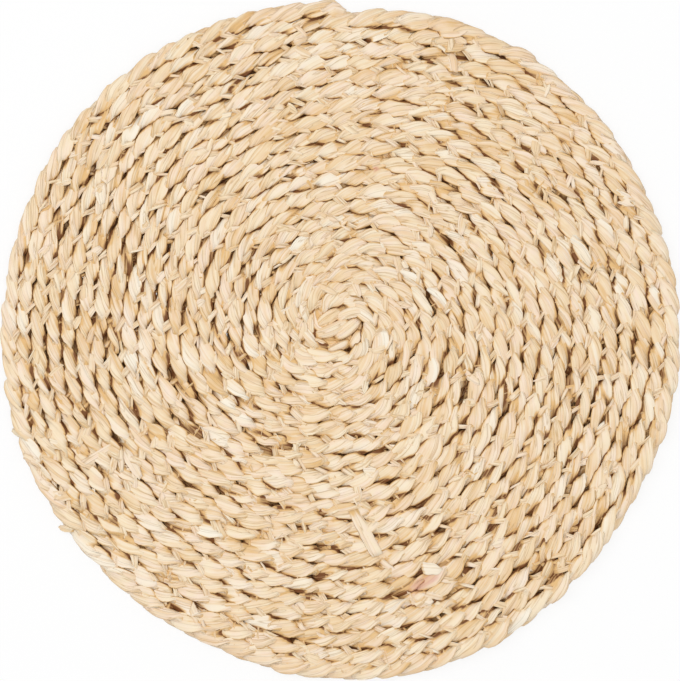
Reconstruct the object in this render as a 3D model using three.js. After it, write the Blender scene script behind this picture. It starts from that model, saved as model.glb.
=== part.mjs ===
// A round placemat: one three-strand plait of dried reed husk, stood on its edge and coiled into a
// flat spiral from the middle outwards. Millimetres, +Z up, the origin in the middle of the
// underside, +Y away from the person at the table. The mat is one closed solid: each turn of the
// plait is a row with a flat crest, and a groove lies between one row and the next.

import * as THREE from 'three';
import { mergeVertices } from 'three/addons/utils/BufferGeometryUtils.js';

// Driving dimensions
const THICKNESS = 10; // underside to the crests of the rows
const GROOVE_DEPTH = 2.4; // crests to the bottom of the grooves
const ROW_PITCH = 8.49; // mean distance from one row to the next
const TURNS = 22.8; // turns of the plait, from the middle to its outer end
const CREST_SHARE = 0.4; // flat crest, as a share of the row's width
const SHOULDER_HEIGHT = 7; // where the outermost row is widest, and starts to round over
const FOOT_HEIGHT = 3; // where the outermost row starts to draw in towards the underside
const FOOT_DRAW = 1.6; // how far it has drawn in where it meets the underside

// The coil isn't quite round. Around the mat the rows lie closer or wider than ROW_PITCH, by a few
// slow waves, each so many to a full turn, in millimetres of pitch.
const PITCH_WAVES = [
  { waves: 1, cosine: -0.34, sine: 0.11 },
  { waves: 2, cosine: -0.02, sine: 0.0 },
  { waves: 3, cosine: -0.06, sine: 0.065 },
  { waves: 5, cosine: -0.025, sine: 0.035 },
];
// Where the plait ends, at the far side, the rows are pulled in a little.
const END_PULL = { pitch: -0.1, spread: THREE.MathUtils.degToRad(10) };

const STEPS_PER_TURN = 60; // facets around one turn
const MERGE_TOLERANCE = 1e-3;

const STEPS = Math.round(TURNS * STEPS_PER_TURN);
const FULL_TURN = 2 * Math.PI;

// Clockwise angle of a step from the far side (+Y), seen from above. The last step is at the far side.
function angleOf(step) {
  return (FULL_TURN * (step - STEPS)) / STEPS_PER_TURN;
}

// Distance between two rows in the direction of an angle.
function pitchAt(angle) {
  const offEnd = Math.atan2(Math.sin(angle), Math.cos(angle)) / END_PULL.spread;
  const pull = END_PULL.pitch * Math.exp(-offEnd * offEnd);
  return PITCH_WAVES.reduce(
    (pitch, { waves, cosine, sine }) =>
      pitch + cosine * Math.cos(waves * angle) + sine * Math.sin(waves * angle),
    ROW_PITCH + pull,
  );
}

// The spiral that the outer side of the plait follows: its radius grows by one pitch in each turn.
// The very last step comes back onto the turn inside it, so the plait's end tapers to nothing.
function edgeRadius(step) {
  const turns = (step === STEPS ? step - STEPS_PER_TURN : Math.max(step, 0)) / STEPS_PER_TURN;
  return turns * pitchAt(angleOf(step));
}

function pointAt(step, radius, height) {
  const angle = angleOf(step);
  return new THREE.Vector3(radius * Math.sin(angle), radius * Math.cos(angle), height);
}

// The points across one row at a step, from the row inside it to its own outer side.
function rowSection(step) {
  const outer = edgeRadius(step);
  const inner = Math.min(edgeRadius(step - STEPS_PER_TURN), outer);
  const middle = (inner + outer) / 2;
  const halfCrest = ((outer - inner) * CREST_SHARE) / 2;
  const isFree = step >= STEPS - STEPS_PER_TURN;
  const insideIsFree = step - STEPS_PER_TURN >= STEPS - STEPS_PER_TURN;
  const tapered = outer === inner;
  const groove = THICKNESS - GROOVE_DEPTH;
  const crest = tapered ? SHOULDER_HEIGHT : THICKNESS;
  return [
    pointAt(step, inner, insideIsFree ? SHOULDER_HEIGHT : groove),
    pointAt(step, middle - halfCrest, step === 0 ? groove : crest),
    pointAt(step, middle + halfCrest, step === 0 ? groove : crest),
    pointAt(step, outer, isFree ? SHOULDER_HEIGHT : groove),
  ];
}

// The free side of the outermost turn, from its shoulder down to the underside.
function rimSection(step) {
  const radius = edgeRadius(step);
  return [
    pointAt(step, radius, SHOULDER_HEIGHT),
    pointAt(step, radius, FOOT_HEIGHT),
    pointAt(step, radius - FOOT_DRAW, 0),
  ];
}

// Adds the faces between two neighbouring sections, leaving out those that have shrunk to a line.
function addStrip(corners, section, next) {
  for (let k = 0; k + 1 < section.length; k += 1) {
    addFace(corners, section[k], next[k], next[k + 1]);
    addFace(corners, section[k], next[k + 1], section[k + 1]);
  }
}

function addFace(corners, a, b, c) {
  const isFlat = [[a, b], [b, c], [c, a]].some(([p, q]) => p.distanceTo(q) < MERGE_TOLERANCE);
  if (!isFlat) corners.push(a, b, c);
}

function coiledPlait() {
  const corners = [];
  for (let step = 0; step < STEPS; step += 1) {
    addStrip(corners, rowSection(step), rowSection(step + 1));
  }
  const underside = new THREE.Vector3(0, 0, 0);
  for (let step = STEPS - STEPS_PER_TURN; step < STEPS; step += 1) {
    const section = rimSection(step);
    const next = rimSection(step + 1);
    addStrip(corners, section, next);
    addFace(corners, section.at(-1), next.at(-1), underside);
  }
  const geometry = new THREE.BufferGeometry().setFromPoints(corners);
  geometry.computeBoundingBox();
  const middle = geometry.boundingBox.getCenter(new THREE.Vector3());
  geometry.translate(-middle.x, -middle.y, 0);
  return mergeVertices(geometry, MERGE_TOLERANCE);
}

const husk = new THREE.MeshStandardMaterial({ color: '#dfc4a0', roughness: 0.75, metalness: 0 });

const mat = new THREE.Mesh(coiledPlait(), husk);
mat.name = 'coiled_plait';

const placemat = new THREE.Group();
placemat.add(mat);

export default placemat;
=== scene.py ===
"""A round placemat of dried reed husk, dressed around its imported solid.

The mat is one three-strand plait, stood on its edge and coiled clockwise from the middle. The coil's
path repeats the solid's own formula, the strands weave around that path, and loose husk ends and
strips lie on top. Sizes are metres.
"""

import logging
from collections.abc import Callable
from dataclasses import dataclass, field
from enum import Enum
from functools import cached_property

import bpy
import numpy as np
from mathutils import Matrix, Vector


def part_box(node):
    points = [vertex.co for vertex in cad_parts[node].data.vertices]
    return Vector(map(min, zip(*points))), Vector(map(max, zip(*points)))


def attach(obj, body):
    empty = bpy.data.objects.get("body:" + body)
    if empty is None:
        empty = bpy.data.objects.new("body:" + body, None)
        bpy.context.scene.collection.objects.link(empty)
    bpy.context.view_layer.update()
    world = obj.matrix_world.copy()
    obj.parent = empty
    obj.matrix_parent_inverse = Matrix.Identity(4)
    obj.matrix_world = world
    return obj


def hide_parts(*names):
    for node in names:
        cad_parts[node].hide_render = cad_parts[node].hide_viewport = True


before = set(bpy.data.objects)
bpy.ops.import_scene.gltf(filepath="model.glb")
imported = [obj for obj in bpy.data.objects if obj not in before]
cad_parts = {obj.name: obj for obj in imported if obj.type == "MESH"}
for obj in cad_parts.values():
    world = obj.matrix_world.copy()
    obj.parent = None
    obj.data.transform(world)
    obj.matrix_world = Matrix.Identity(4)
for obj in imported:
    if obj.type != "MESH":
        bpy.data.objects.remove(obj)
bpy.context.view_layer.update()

BODY = "root"
CAD_NODE = "coiled_plait"
BAKE_MAP = "OFBake"
MM = 0.001
FULL_TURN = 2 * np.pi
HUSK_SHIFT = 10 * MM  # how far apart two husks read the grain, so that their fibres differ
STRAND_SHIFT = 0.37  # the same for two strands
# Golden also paints shade on the flanks, Crease in the creases and Brown deep in the gaps
HUSK_COLOURS = ("Pale", "Golden", "Pink", "Crease", "Brown", "Red", "White")
Array = np.ndarray

logging.basicConfig(level=logging.INFO, format="%(message)s")
log = logging.getLogger("placemat")


# ---------------------------------------------------------------- shared sums


def eased(share: Array) -> Array:
    """A share from 0 to 1 that starts and stops gently: 3 s^2 - 2 s^3, held at its ends."""
    s = np.clip(share, 0.0, 1.0)
    return s * s * (3 - 2 * s)


def ramp(value: Array, start: float, reach: float) -> Array:
    """A share that eases from 0 at start to 1 one reach further on."""
    return eased((value - start) / reach)


def between_knots(knots: Array, place: Array) -> Array:
    """Values that ease from one knot to the next.

    Formula: at place k + s, with k whole and s from 0 to 1, it is knot k plus eased(s) of the step
    to knot k + 1.

    Args:
        knots: One value for each whole place, counted from 0.
        place: Where the values are wanted.

    Returns:
        One value for each place.
    """
    before_last = len(knots) - 1.001
    held = np.clip(place, 0, before_last)
    low = held.astype(int)
    return knots[low] + (knots[low + 1] - knots[low]) * eased(held - low)


def unit(vectors: Array) -> Array:
    """Vectors scaled to length 1, along the last axis."""
    return vectors / np.linalg.norm(vectors, axis=-1, keepdims=True)


def right_of(along: Array) -> Array:
    """Plane directions a quarter turn clockwise from others."""
    return np.stack([along[:, 1], -along[:, 0]], -1)


def at_heights(plane: Array, heights: Array) -> Array:
    """Points in space from plane points and a height for each."""
    return np.concatenate([plane, heights[..., None]], -1)


# ---------------------------------------------------------------- meshes


@dataclass
class TubeMesh:
    """A closed tube from a grid of points, rings along its length, with values at each point.

    Attributes:
        rings: Points as (steps, around, 3), each ring closed on itself.
        values: Name of each point attribute and its numbers, (steps, around) or (steps, around, 3).
    """

    rings: Array
    values: dict[str, Array] = field(default_factory=dict)

    def faces(self) -> tuple[Array, Array]:
        """The tube's quads and the triangles that close its two ends.

        Formula: quad (i, k) joins points k and k + 1 of rings i and i + 1, and k + 1 wraps to 0. An
        end is a fan from one more point, in the middle of that ring.

        Returns:
            The quads as (n, 4) and the triangles as (m, 3), as point numbers.
        """
        steps, around = self.rings.shape[:2]
        i, k = np.meshgrid(np.arange(steps - 1), np.arange(around), indexing="ij")
        after = (k + 1) % around
        quads = np.stack(
            [i * around + k, i * around + after, (i + 1) * around + after, (i + 1) * around + k], -1
        ).reshape(-1, 4)
        ring = np.arange(around)
        after = (ring + 1) % around
        last = (steps - 1) * around
        first_middle = np.full(around, steps * around)
        fans = np.concatenate(
            [
                np.stack([after, ring, first_middle], -1),
                np.stack([last + ring, last + after, first_middle + 1], -1),
            ]
        )
        return quads, fans

    def points(self) -> Array:
        """All points in order: the rings, then the middles of the first and last ring."""
        ends = self.rings[[0, -1]].mean(1)
        return np.concatenate([self.rings.reshape(-1, 3), ends])

    def point_values(self, name: str) -> Array:
        """One attribute in the order of points(), with each end's mean for its middle."""
        values = self.values[name]
        return np.concatenate([values.reshape(-1, *values.shape[2:]), values[[0, -1]].mean(1)])


@dataclass(frozen=True)
class MapGrid:
    """How tubes are cut into lengths that lie side by side on a square map.

    Attributes:
        steps: Quads along each length.
        columns: Lengths beside each other in a row.
        margin: Share of a cell left free at each edge.
        cap_start: Where an end's triangles begin, as a share of the margin.
        cap_width: Their width, as a share of the margin.
        cap_scale: How much smaller they are than they would fit, to keep them off the next cell.
    """

    steps: int
    columns: int = 1
    margin: float = 0.06
    cap_start: float = 0.4
    cap_width: float = 0.5
    cap_scale: float = 0.98

    def cells(self, tube: TubeMesh) -> int:
        """How many lengths a tube is cut into."""
        return -(-(len(tube.rings) - 1) // self.steps)

    def corners(self, tubes: list[TubeMesh]) -> tuple[Array, Array]:
        """Map places of each quad's and each end triangle's corners.

        Formula: cell n lies in column n mod columns and row n over columns. In a cell, u runs along
        the tube and v around it.

        Args:
            tubes: The tubes, in the order in which they are joined.

        Returns:
            The quads' places as (n, 4, 2) and the triangles' as (m, 3, 2).
        """
        rows = -(-sum(self.cells(tube) for tube in tubes) // self.columns)
        size = np.array([1 / self.columns, 1 / rows])
        quads, fans, first = [], [], 0
        for tube in tubes:
            steps, around = tube.rings.shape[:2]
            i, k = np.meshgrid(np.arange(steps - 1), np.arange(around), indexing="ij")
            cell = first + i // self.steps
            corner = np.stack([cell % self.columns, cell // self.columns], -1)[..., None, :]
            step = (i % self.steps)[..., None] + np.array([0, 0, 1, 1])
            side = k[..., None] + np.array([0, 1, 1, 0])
            inside = np.stack([step / self.steps, side / around], -1)
            inside = self.margin + (1 - 2 * self.margin) * inside
            quads.append(((corner + inside) * size).reshape(-1, 4, 2))
            ring = np.arange(around) / around
            edge = np.full(around, self.cap_start * self.margin)
            fan = np.stack([np.stack([edge, ring], -1)] * 3, 1) + np.array(
                [[0, 1 / around], [0, 0], [self.cap_width * self.margin, 0.5 / around]]
            )
            for cell in (first, first + self.cells(tube) - 1):
                corner = np.array([cell % self.columns, cell // self.columns])
                fans.append((corner + fan * self.cap_scale) * size)
            first += self.cells(tube)
        return np.concatenate(quads), np.concatenate(fans)


def join_tubes(tubes: list[TubeMesh]) -> tuple[Array, Array, Array, dict[str, Array]]:
    """Points, quads, triangles and point values of several tubes as one mesh.

    Args:
        tubes: The tubes, all with the same attribute names.

    Returns:
        The points, the quads, the triangles and each attribute's numbers.
    """
    points, quads, fans, start = [], [], [], 0
    for tube in tubes:
        own_quads, own_fans = tube.faces()
        points.append(tube.points())
        quads.append(own_quads + start)
        fans.append(own_fans + start)
        start += len(points[-1])
    values = {
        name: np.concatenate([tube.point_values(name) for tube in tubes])
        for name in tubes[0].values
    }
    return np.concatenate(points), np.concatenate(quads), np.concatenate(fans), values


def husk_values(
    grain: tuple[Array | float, ...],
    shade: Array | float,
    tint: Array | float,
    depth: Array,
    rosy: Array | float = 0.0,
) -> dict[str, Array]:
    """What the husk's finish reads at each point, spread over the points' grid.

    Args:
        grain: Places across the husk, through it and along it.
        shade: How much paler it is; on the strands, painted shade at the lobes' starts and edges lowers
            it.
        tint: How much pinker.
        depth: Painted shade, from 0 on the crests to 1 down in the gaps.
        rosy: Strength of a dull red.

    Returns:
        The numbers of each point attribute.
    """
    *places, shade, tint, depth, rosy = np.broadcast_arrays(*grain, shade, tint, depth, rosy)
    return {
        "grain": np.stack(places, -1),
        "shade": shade,
        "tint": tint,
        "depth": depth,
        "rosy": rosy,
    }


def make_piece(
    name: str, tubes: list[TubeMesh], material: bpy.types.Material, grid: MapGrid
) -> bpy.types.Object:
    """Makes one object of joined tubes, which rides on the mat's body.

    Args:
        name: The object's name.
        tubes: What it is made of.
        material: Its only material.
        grid: How its bake map is laid out.

    Returns:
        The object, linked to the scene.
    """
    points, quads, fans, values = join_tubes(tubes)
    quad_places, fan_places = grid.corners(tubes)
    quad_volume = np.einsum(
        "ij,ij->i", points[quads[:, 0]], np.cross(points[quads[:, 1]], points[quads[:, 2]])
    ).sum()
    if quad_volume < 0:  # the faces point inwards
        quads, fans = quads[:, ::-1], fans[:, ::-1]
        quad_places, fan_places = quad_places[:, ::-1], fan_places[:, ::-1]
    mesh = bpy.data.meshes.new(name)
    mesh.vertices.add(len(points))
    mesh.vertices.foreach_set("co", points.astype(np.float32).ravel())
    corners = np.concatenate([quads.ravel(), fans.ravel()])
    mesh.loops.add(len(corners))
    mesh.loops.foreach_set("vertex_index", corners.astype(np.int32))
    counts = np.concatenate([np.full(len(quads), 4), np.full(len(fans), 3)])
    mesh.polygons.add(len(counts))
    mesh.polygons.foreach_set("loop_start", np.concatenate([[0], np.cumsum(counts)[:-1]]))
    mesh.update(calc_edges=True)
    mesh.validate()
    mesh.shade_smooth()
    places = np.concatenate([quad_places.reshape(-1, 2), fan_places.reshape(-1, 2)])
    mesh.uv_layers.new(name=BAKE_MAP).data.foreach_set("uv", places.astype(np.float32).ravel())
    for attribute, numbers in values.items():
        is_vector = numbers.ndim == 2
        layer = mesh.attributes.new(attribute, "FLOAT_VECTOR" if is_vector else "FLOAT", "POINT")
        layer.data.foreach_set("vector" if is_vector else "value", numbers.astype(np.float32).ravel())
    mesh.materials.append(material)
    piece = bpy.data.objects.new(name, mesh)
    bpy.context.scene.collection.objects.link(piece)
    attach(piece, BODY)
    return piece


# ---------------------------------------------------------------- the coil


@dataclass
class CoilPath:
    """The spiral that the plait follows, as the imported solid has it.

    Attributes:
        turns: Turns from the middle to the outer end, which lies at the far side (+Y).
        pitch: Mean distance between two rows.
        pitch_waves: Slow swings of the pitch around the mat: (waves to a turn, cosine, sine).
        end_pull: Change of the pitch towards the plait's end, where the rows lie closer.
        end_spread: Angle over which that fades.
        first_turn: Where the plait starts, in turns.
        start_angle: Clockwise angle of the plait's first, nearly straight length.
        start_stretch: How much longer than round the coil's middle is in that direction.
        start_reach: Distance over which that fades.
        start_swell: How far the rows beside the first length are pushed out by it.
        swell_start: Distance over which it grows from nothing at the coil's middle.
        swell_reach: Distance over which that fades.
        end_past: How far the plait runs on past the solid's step, in turns.
        end_taper: Length over which the outer end thins out.
        end_inset: Share of a pitch by which the thinned end lies further in.
        rim_inset: How much further in than the spiral the last turn lies.
        rim_reach: Turns over which that grows.
    """

    turns: float = 22.8
    pitch: float = 8.49 * MM
    pitch_waves: tuple[tuple[int, float, float], ...] = (
        (1, -0.34 * MM, 0.11 * MM),
        (2, -0.02 * MM, 0.0),
        (3, -0.06 * MM, 0.065 * MM),
        (5, -0.025 * MM, 0.035 * MM),
    )
    end_pull: float = -0.1 * MM
    end_spread: float = np.radians(10)
    first_turn: float = 0.56
    start_angle: float = np.radians(62)
    start_stretch: float = 0.7
    start_reach: float = 12 * MM
    start_swell: float = 7 * MM
    swell_start: float = 5 * MM
    swell_reach: float = 20 * MM
    end_past: float = 0.0058
    end_taper: float = 7 * MM
    end_inset: float = 0.35
    rim_inset: float = 0.8 * MM
    rim_reach: float = 0.2

    @property
    def last_turn(self) -> float:
        """Where the plait ends, in turns."""
        return self.turns + self.end_past

    def angle(self, turn: Array) -> Array:
        """Clockwise angle from the far side at a turn, seen from above."""
        return FULL_TURN * (np.asarray(turn) - self.turns)

    def pitch_at(self, angle: Array) -> Array:
        """Distance between two rows: the mean, its waves and the pull at the end.

        Args:
            angle: Clockwise angles from the far side.

        Returns:
            The distance towards each angle.
        """
        off_end = np.arctan2(np.sin(angle), np.cos(angle)) / self.end_spread
        pitch = self.pitch + self.end_pull * np.exp(-off_end * off_end)
        for waves, cosine, sine in self.pitch_waves:
            pitch = pitch + cosine * np.cos(waves * angle) + sine * np.sin(waves * angle)
        return pitch

    def edge_radius(self, turn: Array) -> Array:
        """Radius of the plait's outer side: one pitch for each turn."""
        return np.maximum(turn, 0) * self.pitch_at(self.angle(turn))

    def row_radius(self, turn: Array) -> Array:
        """Radius of the plait's middle: halfway between its outer side and the row inside it."""
        return (self.edge_radius(turn) + self.edge_radius(turn - 1)) / 2

    @cached_property
    def middle(self) -> Array:
        """Where the coil's middle lies in the frame.

        Formula: the middle of the solid's box, less the middle of the outline's own box.

        Returns:
            The place on the table.
        """
        directions = 60
        turn = np.linspace(self.turns - 1, self.turns, directions + 1)[:-1]
        outline = self.at(self.edge_radius(turn), self.angle(turn))
        low, high = (np.asarray(corner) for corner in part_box(CAD_NODE))
        return (low + high)[:2] / 2 - (outline.min(0) + outline.max(0)) / 2

    def stretched(self, point: Array) -> Array:
        """Points near the middle moved apart around the plait's start, which is nearly straight.

        Formula: the share of a point along the start's direction grows by start_stretch, fading
        with the distance r from the middle. Across it a point moves out by start_swell times its
        share of r in that direction, times exp(-(r / swell_reach)^2), and times 1 - exp(-r /
        swell_start), which holds the middle still.

        Args:
            point: Plane points about the coil's middle.

        Returns:
            The moved points.
        """
        direction = np.array([np.sin(self.start_angle), np.cos(self.start_angle)])
        across = np.array([-direction[1], direction[0]])
        distance = np.linalg.norm(point, axis=-1)
        reach = np.exp(-distance / self.start_reach)
        swell = np.exp(-((distance / self.swell_reach) ** 2))
        swell = swell * (1 - np.exp(-distance / self.swell_start))
        swell = swell * self.start_swell * (point @ across) / np.maximum(distance, MM)
        point = point + (point @ direction * reach * self.start_stretch)[:, None] * direction
        return point + swell[:, None] * across

    @staticmethod
    def at(radius: Array, angle: Array) -> Array:
        """Plane points from a radius and a clockwise angle, about the coil's middle."""
        return np.stack([radius * np.sin(angle), radius * np.cos(angle)], -1)


@dataclass
class TopSurface:
    """Height of the plait's top on a square grid.

    Attributes:
        cell: Side of a grid square.
        half_span: Half the side of the grid.
        heights: The heights, found from the strands.
    """

    cell: float = 0.8 * MM
    half_span: float = 0.2
    heights: Array = field(init=False)

    def __post_init__(self) -> None:
        """Starts with the floor everywhere."""
        count = int(2 * self.half_span / self.cell) + 1
        self.heights = np.zeros((count, count))

    def cells(self, points: Array) -> tuple[Array, Array]:
        """The grid squares that points lie over."""
        place = np.clip((points[..., :2] + self.half_span) / self.cell, 0, len(self.heights) - 1)
        return tuple(np.moveaxis(np.rint(place).astype(int), -1, 0))

    def add(self, tube: TubeMesh) -> None:
        """Raises the grid to a tube's points and to two more between each pair of its rings.

        Args:
            tube: The tube.
        """
        for share in (0, 1 / 3, 2 / 3):
            points = tube.rings[:-1] * (1 - share) + tube.rings[1:] * share
            np.maximum.at(self.heights, self.cells(points), points[..., 2])

    def at(self, points: Array) -> Array:
        """Heights under points: the mean of the grid's square and the four beside it.

        Args:
            points: The points, as (..., 2) or more.

        Returns:
            A height for each.
        """
        x, y = self.cells(points)
        last = len(self.heights) - 1
        around = ((0, 0), (1, 0), (-1, 0), (0, 1), (0, -1))
        found = [self.heights[np.clip(x + i, 0, last), np.clip(y + j, 0, last)] for i, j in around]
        return np.mean(found, 0)


@dataclass(frozen=True)
class Stain:
    """A patch of the plait that is tinted otherwise, as one husk or a spot on it.

    Attributes:
        angle: Clockwise angle of its middle about the coil's middle, in degrees.
        radius: Distance of its middle from the coil's middle.
        length: Its size along the row.
        width: Its size across the row.
        shade: How much paler it is than a husk.
        tint: How much pinker.
        rosy: Strength of a dull red on its fibres.
        slant: Angle by which it points outwards from the row's direction, as the lobes do.
    """

    angle: float
    radius: float
    length: float = 19 * MM
    width: float = 8 * MM
    shade: float = 0.0
    tint: float = 0.0
    rosy: float = 0.0
    slant: float = 0.25

    def weight(self, points: Array) -> Array:
        """Its strength at plane points about the coil's middle.

        Formula: exp(-(2 u / length)^4 - (2 v / width)^4), with u along the patch and v across it.

        Args:
            points: The points.

        Returns:
            The strength at each.
        """
        row = np.radians(self.angle)
        offset = points - CoilPath.at(self.radius, row)
        lobe = row - self.slant
        along = offset @ np.array([np.cos(lobe), -np.sin(lobe)])
        across = offset @ np.array([np.sin(lobe), np.cos(lobe)])
        return np.exp(-((2 * along / self.length) ** 4) - (2 * across / self.width) ** 4)


STAINS = (
    Stain(angle=162.2, radius=152 * MM, length=19 * MM, width=5.6 * MM, rosy=1.25),
    Stain(angle=13, radius=89 * MM, length=2.6 * MM, width=2.2 * MM, rosy=2.0),
    Stain(angle=278, radius=128 * MM, shade=-3.5),
    Stain(angle=203.5, radius=135 * MM, shade=-3.5),
    Stain(angle=270, radius=119 * MM, shade=1.0, tint=3.5),
    Stain(angle=191, radius=175 * MM, length=9 * MM, width=5 * MM, shade=-1.5, tint=-2.0),
)


@dataclass(frozen=True)
class Rail:
    """The plait's middle line, with one entry for each ring of a strand.

    Attributes:
        turn: Turns walked.
        point: Place on the table.
        along: Direction of the walk.
        outward: Direction across it, away from the coil's middle.
        length: Distance walked.
        beats: Beats passed.
        fade: Share of its full size that a strand has, less where the plait ends.
    """

    turn: Array
    point: Array
    along: Array
    outward: Array
    length: Array
    beats: Array
    fade: Array


@dataclass(frozen=True)
class Pleats:
    """The folds along a strand: heights as shares of half its thickness, the rest of half its width.

    Attributes:
        count: How many pleats lie side by side.
        height: How far a pleat steps up or down.
        edge: Width over which it does.
        facet_tone: How much the facets between the pleats differ in shade.
        main_place: Where the main fold lies, outwards of the strand's middle.
        main_height: How much lower the strand lies on its outer side.
        main_edge: Width over which it falls.
        main_tone: How much darker that side is.
        splits: How many troughs there are besides.
        split_width: How wide they are.
    """

    count: int = 4
    height: float = 0.1
    edge: float = 0.06
    facet_tone: float = 0.4
    main_place: float = 0.25
    main_height: float = 0.35
    main_edge: float = 0.05
    main_tone: float = 0.5
    splits: int = 2
    split_width: float = 0.12


@dataclass(frozen=True)
class Tones:
    """What sets a strand's shade, tint and depth along it and across it.

    Attributes:
        lobe: Spread of the shade and of the tint from lobe to lobe.
        husk: Their spread from husk to husk.
        new_husk: Chance that a lobe begins another husk.
        head: How much painted shade darkens a lobe's start, where it comes up on its inner side.
        head_end: Phase by which it is no longer darker.
        head_reach: Phase over which that fades.
        rim: How much painted shade darkens a strand's edges.
        rim_start: Where they begin to be darker, as a share of half its width.
        edge: How much deeper its edges look: painted shade, as if down in a gap.
        edge_start: Where they begin to look deeper, as a share of half its width.
        facing: Height above a ring's mean over which points count as facing up.
        seam: How much deeper it looks along the seams between the rows: painted shade there.
        seam_start: Distance from the row's middle at which the seams begin.
        seam_reach: Distance over which they deepen.
        seam_swing: How much weaker they are where the strands are fuller.
        mat_rim: Share by which the mat's outer rim looks less deep, with less painted shade.
        mat_rim_reach: Distance across the last row over which that grows.
    """

    lobe: float = 0.45
    husk: float = 0.6
    new_husk: float = 0.35
    head: float = 1.2
    head_end: float = np.radians(60)
    head_reach: float = np.radians(50)
    rim: float = 1.2
    rim_start: float = 0.85
    edge: float = 0.4
    edge_start: float = 0.82
    facing: float = 2 * MM
    seam: float = 0.23
    seam_start: float = 3.5 * MM
    seam_reach: float = 1.1 * MM
    seam_swing: float = 4.0
    mat_rim: float = 0.75
    mat_rim_reach: float = 2.5 * MM


@dataclass(frozen=True)
class Spread:
    """How much a strand differs from lobe to lobe: the spread of the draws for each measure.

    Attributes:
        phase: Its place in the beat, as an angle.
        swing: How far it swings, as a share.
        place: Where its middle lies, sideways and upwards.
        lean: The angle by which it leans.
        turn: The angle by which its flat side turns.
        width: Its width, as a share.
        depth: Its thickness, as a share.
        pleat: A pleat's place across it, from -1 to 1.
        main_place: The main fold's place across it.
        main_height: The main fold's height, as a share.
        split: A split's place across it.
        trough: A split's depth, as a share.
    """

    phase: float = 0.26
    swing: float = 0.22
    place: float = 0.25 * MM
    lean: float = np.radians(5)
    turn: float = np.radians(10)
    width: float = 0.11
    depth: float = 0.07
    pleat: float = 0.16
    main_place: float = 0.35
    main_height: float = 0.5
    split: float = 0.5
    trough: float = 0.4


class LobeDraws:
    """Draws for one strand, by the lobe: the half beat in which it lies over or under the others."""

    def __init__(self, seed: int, lobe: Array) -> None:
        """Starts the draws.

        Args:
            seed: Start of the draws.
            lobe: Lobes passed at each ring.
        """
        self.rng = np.random.default_rng(seed)
        self.lobe = lobe
        self.whole = lobe.astype(int)
        self.count = int(lobe[-1]) + 3

    def uneven(self, spread: float, stride: float = 1.0) -> Array:
        """Values that differ from stride to stride and ease between them.

        Args:
            spread: How much they differ.
            stride: Lobes to a stride. Strides of one lobe keep to the lobes, others start anywhere.

        Returns:
            One value for each ring.
        """
        knots = self.rng.normal(0, spread, int(self.count / stride) + 3)
        shift = (stride != 1.0) * self.rng.uniform()
        return between_knots(knots, (self.lobe - 0.5) / stride + shift)

    def even(self, spread: float) -> Array:
        """Values that differ by about spread, each kept for a whole lobe."""
        return self.rng.normal(0, spread, self.count)[self.whole]


class Run(Enum):
    """The two runs that a strand is cut into, so that neither has too many faces."""

    INNER = "inner"
    OUTER = "outer"


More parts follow.
